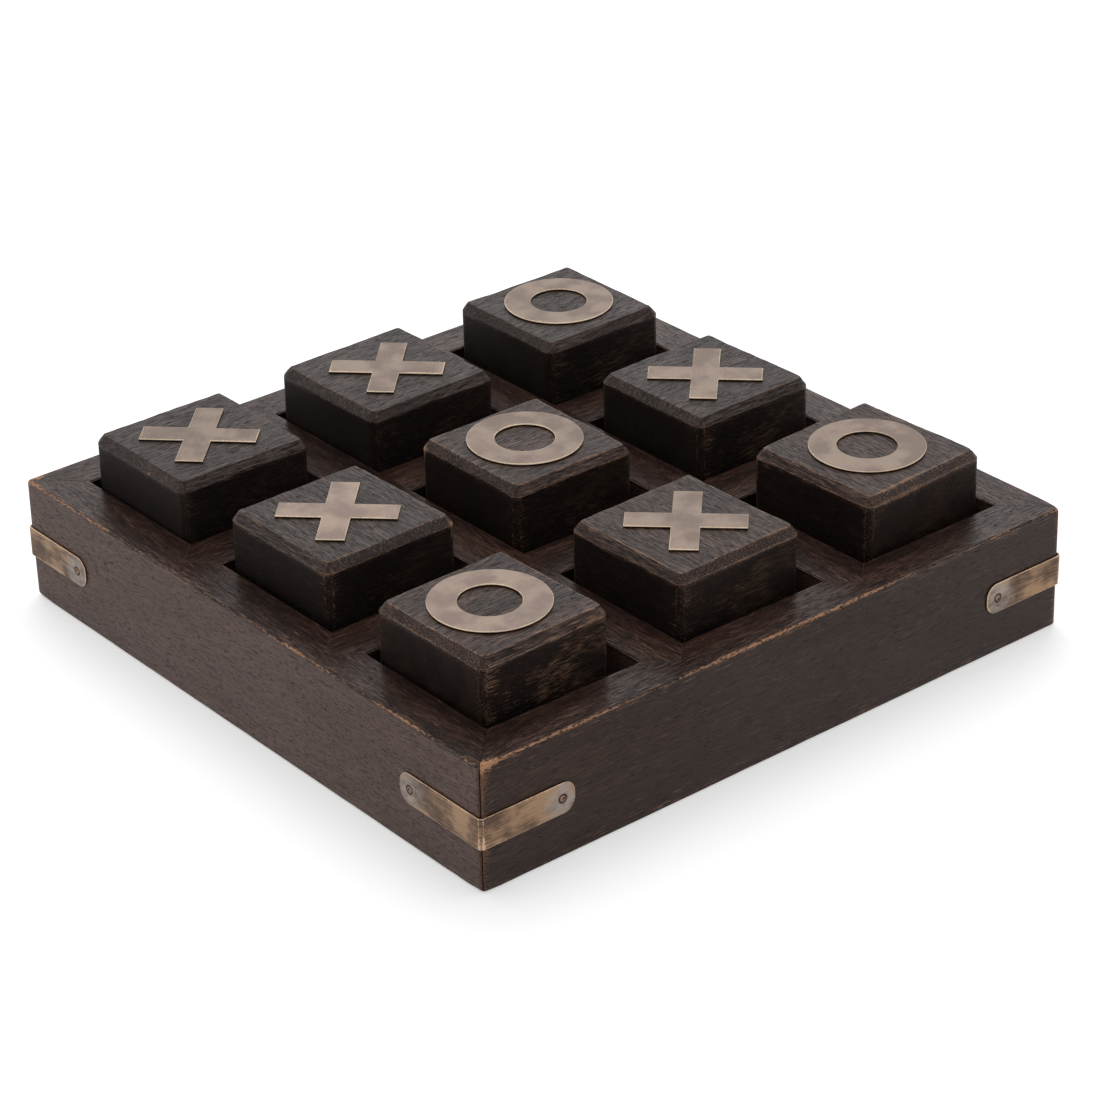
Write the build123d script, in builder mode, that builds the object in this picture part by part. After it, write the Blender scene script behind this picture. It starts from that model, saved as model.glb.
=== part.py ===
from build123d import *
import math
import os

# Tic-tac-toe board: a mitred hardwood tray with nine pockets, nine loose blocks
# that carry brass X and O marks, and a brass strap round each corner.
# Millimetres. The origin is the middle of the underside, +Z is up, -Y is the front.

os.makedirs("parts", exist_ok=True)

# Tray
pocket_side = 74.0
pocket_depth = 16.0
divider_width = 22.0
rail_width = 19.5
tray_height = 55.0
corner_round = 1.2
rim_round = 1.0
foot_ease = 0.8
mouth_ease = 0.5

# Panels let into the rails
floor_thickness = 9.0
groove_depth = 6.0
base_thickness = 6.0
rabbet_width = 8.0
panel_play = 0.3

# Joinery
joint_fit = 0.05
lap_share = 0.5

# Blocks
block_gap = 4.9
block_height = 40.0
block_corner = 2.4
bevel_in = 2.8
bevel_down = 3.7
block_foot_ease = 0.8

# Brass marks
mark_thickness = 1.0
cross_length = 49.0
cross_width = 11.6
ring_diameter = 48.5
ring_hole = 25.0

# Corner straps and their pins
strap_length = 92.0
strap_width = 13.5
strap_thickness = 0.9
strap_rise = 19.6
strap_end_radius = 5.6
pin_inset = 6.1
pin_head_radius = 1.45
pin_dome = 0.7
pin_shank = 1.3
pin_tip = 0.2
pin_length = 11.0
pin_fit = 0.02
dimple_radius = 2.15
dimple_angle = 140.0

# The marks in the pockets, front row first
rows = ("OXO", "XOX", "XXO")
columns = "abc"

# How much more than the common side each block was cut
cut_over = {
    "a1": -0.8, "b1": 0.4, "c1": 1.9,
    "a2": 0.4, "b2": -1.6, "c2": -0.5,
    "a3": 0.0, "b3": 1.5, "c3": -0.4,
}

# How each block was put down: share of its free room to the right, share to the
# back, and its turn in degrees
put_down = {
    "a1": (-0.63, 0.38, 1.4),
    "b1": (-0.41, 0.43, 1.3),
    "c1": (0.35, 0.36, 2.4),
    "a2": (-0.35, 0.56, 1.0),
    "b2": (-0.50, 0.48, 0.1),
    "c2": (-0.44, 0.14, 0.9),
    "a3": (-0.87, 0.03, 0.0),
    "b3": (-0.92, 0.19, 0.7),
    "c3": (-0.29, 0.51, -0.1),
}

# How far off the middle of its block each mark was glued, to the right and to the back
glued_off = {
    "a1": (-0.1, 1.1), "b1": (0.9, 0.3), "c1": (1.3, 1.1),
    "a2": (-0.9, 1.4), "b2": (0.7, 1.7), "c2": (0.4, 0.2),
    "a3": (-0.4, 0.6), "b3": (0.3, -0.2), "c3": (1.3, 1.8),
}

# How far each strap was slid round its corner before it was pinned. The corners
# follow each other in quarter turns.
strap_slides = {
    "front_left": 1.8,
    "front_right": -3.5,
    "back_right": 1.0,
    "back_left": 3.5,
}

# Sizes that follow
cells = len(rows)
pitch = pocket_side + divider_width
inner_side = cells * pocket_side + (cells - 1) * divider_width
tray_side = inner_side + 2 * rail_width
half_side = tray_side / 2
floor_top = tray_height - pocket_depth
floor_side = inner_side + 2 * groove_depth
base_side = inner_side + 2 * rabbet_width
block_side = pocket_side - 2 * block_gap
block_top = floor_top + block_height
hair = 0.01
pin_height = strap_rise + strap_width / 2
dimple_slope = math.tan(math.radians(dimple_angle / 2))
pin_seat = (dimple_radius - pin_head_radius) / dimple_slope
notch_side = divider_width / math.sqrt(2) + 2 * joint_fit
dividers_at = [(number - (cells - 2) / 2) * pitch for number in range(cells - 1)]


def turned_plane(quarter, height=0.0):
    """The plan of the tray, turned by quarter turns and raised."""
    return Plane.XY.rotated((0, 0, 90 * quarter)).offset(height)


def strap_arms(slide):
    """Reach of a strap from its corner along the two faces."""
    return strap_length / 2 - slide, strap_length / 2 + slide


def pin_planes(quarter, slide):
    """A plane under the head of each of a strap's two pins, looking out of the tray."""
    along_front, along_side = strap_arms(slide)
    plan = turned_plane(quarter)
    outside = half_side + strap_thickness - pin_seat
    front = plan.from_local_coords((along_front - pin_inset - half_side, -outside, pin_height))
    side = plan.from_local_coords((-outside, along_side - pin_inset - half_side, pin_height))
    up = Vector(0, 0, 1)
    return (
        Plane(origin=front, x_dir=up, z_dir=-plan.y_dir),
        Plane(origin=side, x_dir=up, z_dir=-plan.x_dir),
    )


all_pins = [
    plane for quarter, slide in enumerate(strap_slides.values()) for plane in pin_planes(quarter, slide)
]


def make_shank(fit):
    """The square, tapering shank of a pin, or with a fit the room that it is driven into."""
    with BuildPart() as shank:
        for height, side in ((0, pin_shank), (-pin_length - fit, pin_tip)):
            with BuildSketch(Plane.XY.offset(height)):
                Rectangle(side + 2 * fit, side + 2 * fit)
        loft()
    return shank.part


shank_room = make_shank(pin_fit)


def write(part, name):
    """Label a finished piece and write it."""
    part.label = name
    export_step(part, f"parts/{name}.step")


# Rails: one side each of the tray's frame, mitred at both ends. The inner face
# takes the floor panel in a groove, the base panel in a rabbet, and the pointed
# divider ends in notches.


def make_rail(quarter):
    """The rail on the side that lies that many quarter turns from the front."""
    with BuildPart() as rail:
        with BuildSketch(turned_plane(quarter)):
            Rectangle(tray_side, tray_side)
        extrude(amount=tray_height)
        fillet(rail.edges().filter_by(Axis.Z), radius=corner_round)
        chamfer(rail.edges().group_by(Axis.Z)[0], length=foot_ease)
        fillet(rail.edges().group_by(Axis.Z)[-1], radius=rim_round)
        with BuildSketch(turned_plane(quarter)):
            Rectangle(inner_side, inner_side)
        extrude(amount=tray_height, mode=Mode.SUBTRACT)
        with BuildSketch(turned_plane(quarter, floor_top - floor_thickness)):
            Rectangle(floor_side, floor_side)
        extrude(amount=floor_thickness, mode=Mode.SUBTRACT)
        with BuildSketch(turned_plane(quarter)):
            Rectangle(base_side, base_side)
        extrude(amount=base_thickness, mode=Mode.SUBTRACT)
        with BuildSketch(turned_plane(quarter, tray_height)):
            with GridLocations(pitch, pitch, cells, cells):
                Rectangle(pocket_side + 2 * mouth_ease, pocket_side + 2 * mouth_ease)
        extrude(amount=-mouth_ease, taper=45, mode=Mode.SUBTRACT)
        with BuildSketch(turned_plane(quarter, floor_top)):
            with Locations(*[(place, -inner_side / 2) for place in dividers_at]):
                Rectangle(notch_side, notch_side, rotation=45)
        extrude(amount=pocket_depth, mode=Mode.SUBTRACT)
        with BuildSketch(turned_plane(quarter)):
            with BuildLine():
                Polyline((0, 0), (-tray_side, -tray_side), (tray_side, -tray_side), close=True)
            make_face()
        extrude(amount=tray_height, mode=Mode.INTERSECT)
        for plane in all_pins:
            with Locations(plane.location):
                add(shank_room, mode=Mode.SUBTRACT)
    return rail.part


for quarter, side in enumerate(("front", "right", "back", "left")):
    write(make_rail(quarter), f"rail_{side}")


# Dividers: bars with pointed ends, lapped over each other where they cross


def make_divider(quarter, place, slot_bottom):
    """A bar that runs the width of the tray, slotted at its crossings."""
    point = inner_side / 2 + divider_width / 2
    shoulder = inner_side / 2
    edge = divider_width / 2
    slot_height = pocket_depth * lap_share
    with BuildPart() as divider:
        with BuildSketch(turned_plane(quarter, floor_top)):
            with BuildLine():
                Polyline(
                    (-point, place),
                    (-shoulder, place - edge),
                    (shoulder, place - edge),
                    (point, place),
                    (shoulder, place + edge),
                    (-shoulder, place + edge),
                    close=True,
                )
            make_face()
        extrude(amount=pocket_depth)
        with BuildSketch(turned_plane(quarter, slot_bottom)):
            with Locations(*[(crossing, place) for crossing in dividers_at]):
                Rectangle(divider_width + 2 * joint_fit, divider_width + 2 * joint_fit)
        extrude(amount=slot_height, mode=Mode.SUBTRACT)
        with BuildSketch(turned_plane(quarter, tray_height)):
            with GridLocations(pitch, pitch, cells, cells):
                Rectangle(pocket_side + 2 * mouth_ease, pocket_side + 2 * mouth_ease)
        extrude(amount=-mouth_ease, taper=45, mode=Mode.SUBTRACT)
    return divider.part


upper_slot = tray_height - pocket_depth * lap_share
write(make_divider(0, dividers_at[0], upper_slot), "divider_front")
write(make_divider(0, dividers_at[1], upper_slot), "divider_back")
write(make_divider(1, dividers_at[0], floor_top), "divider_right")
write(make_divider(1, dividers_at[1], floor_top), "divider_left")


# Panels: the floor of the pockets, and the panel that closes the underside

with BuildPart() as floor_panel:
    with BuildSketch(Plane.XY.offset(floor_top - floor_thickness)):
        Rectangle(floor_side - 2 * panel_play, floor_side - 2 * panel_play)
    extrude(amount=floor_thickness)
write(floor_panel.part, "floor_panel")

with BuildPart() as base_panel:
    with BuildSketch():
        Rectangle(base_side - 2 * panel_play, base_side - 2 * panel_play)
    extrude(amount=base_thickness)
write(base_panel.part, "base_panel")


# Blocks and marks


def cut_side(cell):
    """The side that a block was cut to."""
    return block_side + cut_over[cell]


def block_plane(cell, height):
    """The middle of a block as it was put down in its pocket."""
    share_x, share_y, turn = put_down[cell]
    column = columns.index(cell[0])
    row = int(cell[1]) - 1
    slant = abs(math.radians(turn))
    room = pocket_side / 2 - cut_side(cell) / 2 * (math.cos(slant) + math.sin(slant))
    x = (column - (cells - 1) / 2) * pitch + share_x * room
    y = (row - (cells - 1) / 2) * pitch + share_y * room
    return Plane(origin=(x, y, height)).rotated((0, 0, turn))


def make_block(cell):
    """A square block, bevelled round its top and taken off at its corners."""
    with BuildPart() as block:
        with BuildSketch(block_plane(cell, floor_top)) as plan:
            Rectangle(cut_side(cell), cut_side(cell))
            chamfer(plan.vertices(), length=block_corner)
        extrude(amount=block_height)
        top = block.faces().sort_by(Axis.Z)[-1]
        chamfer(top.edges(), length=bevel_in, length2=bevel_down, reference=top)
        chamfer(block.edges().group_by(Axis.Z)[0], length=block_foot_ease)
    return block.part


def make_cross(cell):
    """An X cut from sheet, its arms along the diagonals of the block."""
    with BuildPart() as cross:
        with BuildSketch(block_plane(cell, block_top)):
            with Locations(glued_off[cell]):
                for lean in (45, -45):
                    Rectangle(cross_length, cross_width, rotation=lean)
        extrude(amount=mark_thickness)
    return cross.part


def make_ring(cell):
    """An O cut from sheet."""
    with BuildPart() as ring:
        with BuildSketch(block_plane(cell, block_top)):
            with Locations(glued_off[cell]):
                Circle(ring_diameter / 2)
                Circle(ring_hole / 2, mode=Mode.SUBTRACT)
        extrude(amount=mark_thickness)
    return ring.part


for row, marks in enumerate(rows, start=1):
    for column, mark in zip(columns, marks):
        cell = f"{column}{row}"
        write(make_block(cell), f"block_{cell}")
        if mark == "X":
            write(make_cross(cell), f"x_mark_{cell}")
        else:
            write(make_ring(cell), f"o_mark_{cell}")


# Corner straps: a strip bent round each corner, with rounded ends and a dimple
# for each pin


def make_strap(quarter, slide):
    """The strap round one corner: a bent line made thick, with its ends rounded."""
    along_front, along_side = strap_arms(slide)
    with BuildPart() as strap:
        with BuildSketch(turned_plane(quarter, strap_rise)):
            with BuildLine():
                FilletPolyline(
                    (along_front - half_side, -half_side),
                    (-half_side, -half_side),
                    (-half_side, along_side - half_side),
                    radius=corner_round,
                )
                offset(amount=strap_thickness, side=Side.LEFT)
            make_face()
        extrude(amount=strap_width)
        ends = strap.edges().filter_by(lambda edge: abs(edge.length - strap_thickness) < hair)
        fillet(ends, radius=strap_end_radius)
        for plane in pin_planes(quarter, slide):
            with Locations(plane.offset(pin_seat).location):
                Cone(
                    bottom_radius=dimple_radius,
                    top_radius=0,
                    height=dimple_radius / dimple_slope,
                    rotation=(180, 0, 0),
                    align=(Align.CENTER, Align.CENTER, Align.MIN),
                    mode=Mode.SUBTRACT,
                )
            with Locations(plane.location):
                add(shank_room, mode=Mode.SUBTRACT)
    return strap.part


for quarter, (corner, slide) in enumerate(strap_slides.items()):
    write(make_strap(quarter, slide), f"strap_{corner}")


# Pins: round-headed nails, two to a strap, whose heads rest on the slope of a dimple

with BuildPart() as pin:
    with BuildSketch(Plane.XZ):
        with BuildLine():
            TangentArc((0, pin_dome), (pin_head_radius, 0), tangent=(1, 0))
            Polyline((pin_head_radius, 0), (0, 0), (0, pin_dome))
        make_face()
    revolve(axis=Axis.Z)
    add(make_shank(fit=0))

with BuildPart() as strap_pins:
    for plane in all_pins:
        with Locations(plane.location):
            add(pin.part)
write(strap_pins.part, "strap_pins")
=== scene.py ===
# %% [markdown]
# # A tic-tac-toe board in dark hardwood and brass
# The real game is a square mitred tray with nine pockets, nine loose blocks that
# carry brass X and O marks, and a brass strap pinned round each corner. The packed
# model holds every piece at its true size. This lesson dresses it: blocks with
# hand-planed bevels, sheet brass with rubbed rims, and a wood stain that has worn
# through to tan along the edges.

# %% Load the frame
import math

import bmesh
import bpy
import numpy as np
from mathutils import Matrix, Vector, noise


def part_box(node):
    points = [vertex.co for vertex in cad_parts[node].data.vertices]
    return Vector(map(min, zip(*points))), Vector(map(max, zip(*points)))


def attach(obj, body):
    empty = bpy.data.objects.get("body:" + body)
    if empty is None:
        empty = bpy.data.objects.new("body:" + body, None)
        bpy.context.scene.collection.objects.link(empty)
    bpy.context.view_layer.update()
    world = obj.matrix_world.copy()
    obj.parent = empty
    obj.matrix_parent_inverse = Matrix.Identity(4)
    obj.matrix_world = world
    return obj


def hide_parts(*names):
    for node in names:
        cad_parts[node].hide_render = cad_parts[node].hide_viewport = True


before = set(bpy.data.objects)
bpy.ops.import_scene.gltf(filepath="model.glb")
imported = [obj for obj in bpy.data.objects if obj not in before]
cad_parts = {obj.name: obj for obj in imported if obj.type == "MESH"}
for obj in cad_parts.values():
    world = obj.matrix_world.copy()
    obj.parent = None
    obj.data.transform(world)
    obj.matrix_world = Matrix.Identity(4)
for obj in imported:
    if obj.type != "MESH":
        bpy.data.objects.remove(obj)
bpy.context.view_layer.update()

MM = 0.001

# %% [markdown]
# ## Camera
# The photograph was taken from above the front left corner with a long lens. A camera
# could be turned by eye until its picture looks right. Here its place was worked out
# by matching the corners of the tray and its pockets, because that settles the whole
# perspective at once. It is written as a point, two angles and a small roll.

# %% Camera
EYE = Vector((-0.8110, -1.0076, 0.7254))
AZIMUTH = math.radians(-39.05)
ELEVATION = math.radians(28.33)
ROLL = math.radians(-1.22)
SENSOR_WIDTH = 36.0
FOCAL_LENGTH = 115.0


def add_object(name, data):
    """A new object in the scene."""
    added = bpy.data.objects.new(name, data)
    bpy.context.scene.collection.objects.link(added)
    return added


camera = add_object("camera", bpy.data.cameras.new("camera"))
camera.data.sensor_width = SENSOR_WIDTH
camera.data.lens = FOCAL_LENGTH
camera.rotation_mode = "XYZ"
camera.matrix_world = (
    Matrix.Translation(EYE)
    @ Matrix.Rotation(AZIMUTH, 4, "Z")
    @ Matrix.Rotation(math.pi / 2 - ELEVATION, 4, "X")
    @ Matrix.Rotation(ROLL, 4, "Z")
)
bpy.context.scene.camera = camera
print("camera looks down by", round(math.degrees(ELEVATION), 1), "degrees")

# %% [markdown]
# ## Short ways to write a shader
# A node material is a tree of small boxes. Adding a box and joining its sockets takes
# several lines each time, so this class wraps a tree and lets a formula be written
# almost as on paper. A value may be a number, a colour or another box's output.


# %% A node tree with short names
class Tree:
    """A shader tree, or the tree of a group, with short ways to add boxes."""

    def __init__(self, nodes_and_links):
        self.nodes = nodes_and_links.nodes
        self.links = nodes_and_links.links

    def put(self, socket, value):
        """Set a socket to a plain value or join it to another output."""
        if isinstance(value, bpy.types.NodeSocket):
            self.links.new(value, socket)
        else:
            socket.default_value = value

    def box(self, kind, inputs=(), **settings):
        """Add a box, with settings by name and inputs by name or number."""
        node = self.nodes.new(kind)
        for name, value in settings.items():
            setattr(node, name, value)
        for name, value in dict(inputs).items():
            self.put(node.inputs[name], value)
        return node

    def math(self, operation, a, b=0.0):
        return self.box("ShaderNodeMath", {0: a, 1: b}, operation=operation).outputs[0]

    def plus(self, a, b):
        return self.math("ADD", a, b)

    def minus(self, a, b):
        return self.math("SUBTRACT", a, b)

    def times(self, a, b):
        return self.math("MULTIPLY", a, b)

    def larger(self, a, b):
        return self.math("MAXIMUM", a, b)

    def smaller(self, a, b):
        return self.math("MINIMUM", a, b)

    def absolute(self, a):
        return self.math("ABSOLUTE", a)

    def vector(self, operation, a, b):
        key = "Scale" if operation == "SCALE" else 1
        return self.box("ShaderNodeVectorMath", {0: a, key: b}, operation=operation).outputs["Vector"]

    def split(self, vector):
        return self.box("ShaderNodeSeparateXYZ", {0: vector}).outputs

    def join(self, x, y, z):
        return self.box("ShaderNodeCombineXYZ", {0: x, 1: y, 2: z}).outputs[0]

    def noise(self, point, scale, detail, roughness=0.5):
        inputs = {"Vector": point, "Scale": scale, "Detail": detail, "Roughness": roughness}
        return self.box("ShaderNodeTexNoise", inputs).outputs[0]

    def drawn(self, point, cells, detail, roughness=0.5):
        """Noise that is drawn out, with its own number of cells per unit along each axis."""
        return self.noise(self.vector("MULTIPLY", point, cells), 1.0, detail, roughness)

    def step(self, value, low, high, to_low=0.0, to_high=1.0):
        """A smooth ramp from to_low at low to to_high at high."""
        inputs = {"Value": value, "From Min": low, "From Max": high, "To Min": to_low, "To Max": to_high}
        node = self.box("ShaderNodeMapRange", inputs, interpolation_type="SMOOTHSTEP")
        return node.outputs["Result"]

    def blend(self, share, a, b):
        """Colour a where share is 0 and colour b where it is 1."""
        node = self.box("ShaderNodeMix", data_type="RGBA")
        self.put(node.inputs["Factor"], share)
        self.put(node.inputs[6], a)
        self.put(node.inputs[7], b)
        return node.outputs[2]


print("short ways to add boxes:", [name for name in vars(Tree) if not name.startswith("_")])


# %% Groups and materials
def new_group(name, inputs, outputs):
    """A node group with named sockets, where Point is a vector and the others are
    values. Returns its tree, its inputs and its outputs."""
    group = bpy.data.node_groups.new(name, "ShaderNodeTree")
    for direction, labels in (("INPUT", inputs), ("OUTPUT", outputs)):
        for label in labels:
            kind = "NodeSocketVector" if label == "Point" else "NodeSocketFloat"
            group.interface.new_socket(label, in_out=direction, socket_type=kind)
    tree = Tree(group)
    given = tree.box("NodeGroupInput").outputs
    wanted = tree.box("NodeGroupOutput").inputs
    return tree, given, wanted


def give(tree, wanted, **values):
    """Join named values to the outputs of a group."""
    for label, value in values.items():
        tree.put(wanted[label], value)


def seeded_point(tree, given, shift):
    """A group's point in millimetres, moved to its own part of the noise by its seed."""
    point = tree.vector("SCALE", given["Point"], 1 / MM)
    return tree.vector("ADD", point, tree.vector("SCALE", shift, given["Seed"]))


def use_group(tree, name, inputs):
    """Place a group in a material and return its outputs."""
    node = tree.box("ShaderNodeGroup", node_tree=bpy.data.node_groups[name])
    for label, value in inputs.items():
        tree.put(node.inputs[label], value)
    return node.outputs


def new_material(name):
    """A node material and its tree."""
    material = bpy.data.materials.new(name)
    material.use_nodes = True
    return material, Tree(material.node_tree)


def grey(value):
    """An opaque grey of the given lightness."""
    return (value, value, value, 1.0)


print("full white is", grey(1.0))

# %% [markdown]
# ## Floor and light
# The board stands on white paper in a bright tent, with a soft shadow close to the
# tray. More light would whiten the paper, but it would turn the wood pale too. So the
# paper adds a little white of its own, for camera and mirror rays alone, and still
# takes the shadow. The pale world and a large soft lamp overhead light the board
# evenly, at a level where a colour renders about as it is written. A second panel
# behind the board draws its shadow to the front. The waxed wood mirrors only the white
# tent, so both lamps are hidden from mirror rays.

# %% Floor
WHITE = grey(1.0)
FLOOR_SIDE = 12.0
PAPER = 0.93
SEEN_PAPER = 0.72
SEEN_LIFT = 0.44
MIRRORED_PAPER = 0.26
MIRRORED_LIFT = 0.72

bpy.ops.mesh.primitive_plane_add(size=FLOOR_SIDE)
floor = bpy.context.object
floor.name = "floor"
paper, tree = new_material("white paper")
tree.nodes.clear()
path = tree.box("ShaderNodeLightPath").outputs
paper_colour = tree.blend(path["Is Glossy Ray"], grey(PAPER), grey(MIRRORED_PAPER))
paper_colour = tree.blend(path["Is Camera Ray"], paper_colour, grey(SEEN_PAPER))
lift = tree.times(path["Is Camera Ray"], SEEN_LIFT)
lift = tree.plus(lift, tree.times(path["Is Glossy Ray"], MIRRORED_LIFT))
matte = tree.box("ShaderNodeBsdfDiffuse", {"Color": paper_colour}).outputs[0]
glow = tree.box("ShaderNodeEmission", {"Color": WHITE, "Strength": lift}).outputs[0]
both = tree.box("ShaderNodeAddShader", {0: matte, 1: glow}).outputs[0]
tree.box("ShaderNodeOutputMaterial", {"Surface": both})
floor.data.materials.append(paper)
print("floor side", FLOOR_SIDE, "m")

# %% Light
TENT_STRENGTH = 0.62
TENT_WHITE = grey(0.98)

world = bpy.data.worlds.new("tent")
bpy.context.scene.world = world
world.use_nodes = True
tree = Tree(world.node_tree)
tree.nodes.clear()
path = tree.box("ShaderNodeLightPath").outputs
tent = tree.box("ShaderNodeBackground", {"Color": TENT_WHITE, "Strength": TENT_STRENGTH}).outputs[0]
backdrop = tree.box("ShaderNodeBackground", {"Color": WHITE, "Strength": 1.0}).outputs[0]
seen = tree.larger(path["Is Camera Ray"], path["Is Glossy Ray"])
shown = tree.box("ShaderNodeMixShader", {0: seen, 1: tent, 2: backdrop})
tree.box("ShaderNodeOutputWorld", {"Surface": shown.outputs[0]})


def soft_panel(name, place, width, height, watts):
    """A rectangular lamp that faces the middle of the board."""
    lamp = add_object(name, bpy.data.lights.new(name, "AREA"))
    lamp.data.shape = "RECTANGLE"
    lamp.data.size = width
    lamp.data.size_y = height
    lamp.data.energy = watts
    lamp.location = place
    lamp.rotation_euler = Vector(place).to_track_quat("Z", "Y").to_euler()
    lamp.visible_camera = False
    lamp.visible_glossy = False


soft_panel("overhead lamp", (0.20, 0.30, 1.35), 1.2, 1.2, 8.0)
soft_panel("back panel", (1.00, 1.24, 1.02), 2.2, 1.3, 13.0)
bpy.context.scene.view_settings.view_transform = "Standard"
print("tent strength", TENT_STRENGTH, "lamps", len(bpy.data.lights))

# %% [markdown]
# ## Wood grain
# The hardwood has open pores: short dark dashes that run along each piece. Under them
# lie fibres, finer hairs and broad bands of tone. One group makes them all from a
# point in the piece's own space, with the grain along X, so every material that is
# wood can use it. Fine draws the pores smaller. An image texture would need seams at
# every corner. Noise that is stretched along the grain has none.

# %% Cells of the grain, in each millimetre along it and across it
SWAY_CELLS = (0.012, 0.02, 0.02)
BAND_CELLS = (0.014, 0.11, 0.11)
FIBRE_CELLS = (0.10, 1.4, 1.4)
HAIR_CELLS = (0.22, 3.2, 3.2)
PORE_CELLS = (0.24, 2.2, 2.2)
SWAY = 6.0
GRAIN_SHIFT = (61.0, 37.0, 89.0)
print("fibres are", FIBRE_CELLS[1] / FIBRE_CELLS[0], "times as long as they are wide")

# %% Group: wood grain
tree, given, wanted = new_group(
    "wood grain", ("Point", "Seed", "Fine"), ("Bands", "Fibres", "Hairs", "Pores", "Height"))
point = seeded_point(tree, given, GRAIN_SHIFT)
sway = tree.times(tree.minus(tree.drawn(point, SWAY_CELLS, 1.0), 0.5), SWAY)
point = tree.vector("ADD", point, tree.join(0.0, sway, sway))
bands = tree.step(tree.drawn(point, BAND_CELLS, 3.0, 0.6), 0.32, 0.68)
fibres = tree.drawn(point, FIBRE_CELLS, 3.0, 0.6)
hairs = tree.drawn(point, HAIR_CELLS, 2.0, 0.6)
finer = tree.vector("SCALE", point, given["Fine"])
pores = tree.step(tree.drawn(finer, PORE_CELLS, 1.0), 0.57, 0.66)
height = tree.plus(tree.times(fibres, 0.6), tree.times(hairs, 0.5))
height = tree.minus(height, pores)
give(tree, wanted, Bands=bands, Fibres=fibres, Hairs=hairs, Pores=pores, Height=height)
print("groups:", len(bpy.data.node_groups))

# %% [markdown]
# ## Edge wear
# Hands and cloths rub a stain away where they meet an edge. A line of one width would
# look painted on. The group takes the distance from the nearest edge, in millimetres,
# and turns it into a mask that comes and goes along the edge: long noise decides where
# the wear is wide, short noise frays it, and noise between the two breaks it up.

# %% Group: edge wear
WEAR_SHIFT = (17.0, 53.0, 29.0)
LONG_CELLS = 0.035
MIDDLE_CELLS = 0.28
SHORT_CELLS = 1.6

tree, given, wanted = new_group("edge wear", ("Distance", "Point", "Width", "Cover", "Seed"), ("Worn",))
point = seeded_point(tree, given, WEAR_SHIFT)
long_noise = tree.noise(point, LONG_CELLS, 2.0, 0.6)
middle_noise = tree.noise(point, MIDDLE_CELLS, 3.0, 0.6)
short_noise = tree.noise(point, SHORT_CELLS, 2.0, 0.6)
spread = tree.step(long_noise, 0.35, 0.68)
reach = tree.times(given["Width"], tree.plus(0.35, tree.times(spread, 0.9)))
reach = tree.times(reach, tree.step(short_noise, 0.3, 0.7, 0.35, 1.4))
near = tree.step(tree.math("DIVIDE", given["Distance"], reach), 0.35, 1.0, 1.0, 0.0)
limit = tree.minus(1.0, given["Cover"])
along = tree.plus(middle_noise, tree.times(spread, 0.12))
broken = tree.step(along, limit, tree.plus(limit, 0.12))
give(tree, wanted, Worn=tree.times(near, broken))


def worn_edge(tree, distance, point, width, cover, seed):
    """How bare an edge is rubbed at each point, from the edge wear group."""
    inputs = {"Distance": distance, "Point": point, "Width": width, "Cover": cover, "Seed": seed}
    return use_group(tree, "edge wear", inputs)["Worn"]


print("groups:", len(bpy.data.node_groups))

# %% [markdown]
# ## How far from an edge of the tray
# The wear group has to know how far each point of the tray lies from an edge. That
# could be stored on the vertices of each piece, but the pieces meet face to face, and
# wear would break off at a joint. Here the distance is worked out from the place
# alone, so wear runs on from piece to piece. All of it follows from the tray's sides:
# the rim, the foot, the four upright corners, the mouths of the nine pockets, the
# mitres between two rails, and the V notches where the dividers end.

# %% Measure the tray
rail_low, rail_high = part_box("rail_front")
OUTER_HALF = -rail_low.y / MM
TRAY_HEIGHT = rail_high.z / MM
divider_low, divider_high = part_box("divider_front")
DIVIDER_WIDTH = (divider_high.y - divider_low.y) / MM
PITCH = (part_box("divider_back")[0].y - divider_low.y) / MM
POCKET_HALF = (PITCH - DIVIDER_WIDTH) / 2
INNER_HALF = PITCH + POCKET_HALF
print("tray", round(OUTER_HALF * 2, 1), "by", round(TRAY_HEIGHT, 1), "pitch", round(PITCH, 1))

# %% Group: tray edges
FAR_AWAY = 9.0

tree, given, wanted = new_group(
    "tray edges", ("Point",), ("Rim", "Foot", "Upright", "Mouth", "Mitre", "Vee"))
x, y, z = tree.split(tree.vector("SCALE", given["Point"], 1 / MM))
across = tree.absolute(x)
along = tree.absolute(y)
outward = tree.larger(across, along)
inward = tree.smaller(across, along)
from_side = tree.minus(OUTER_HALF, outward)
from_top = tree.minus(TRAY_HEIGHT, z)
from_other_side = tree.minus(OUTER_HALF, inward)


def from_middle(distance):
    """How far a place lies from the middle line of its own row of pockets."""
    outer_row = tree.math("GREATER_THAN", distance, PITCH / 2)
    return tree.absolute(tree.minus(distance, tree.times(outer_row, PITCH)))


from_cell = tree.larger(from_middle(across), from_middle(along))
from_wall = tree.absolute(tree.minus(from_cell, POCKET_HALF))
into_rail = tree.minus(outward, INNER_HALF)
off_rails = tree.times(tree.math("LESS_THAN", into_rail, 0.0), FAR_AWAY)
off_mitre = tree.absolute(tree.minus(across, along))
off_divider = tree.absolute(tree.minus(inward, PITCH / 2))
off_vee = tree.absolute(tree.minus(tree.plus(into_rail, off_divider), DIVIDER_WIDTH / 2))
give(
    tree, wanted,
    Rim=tree.larger(from_side, from_top),
    Foot=tree.larger(from_side, z),
    Upright=tree.larger(from_side, from_other_side),
    Mouth=tree.larger(from_wall, from_top),
    Mitre=tree.plus(off_mitre, off_rails),
    Vee=tree.plus(off_vee, off_rails),
)
print("groups:", len(bpy.data.node_groups))

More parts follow.
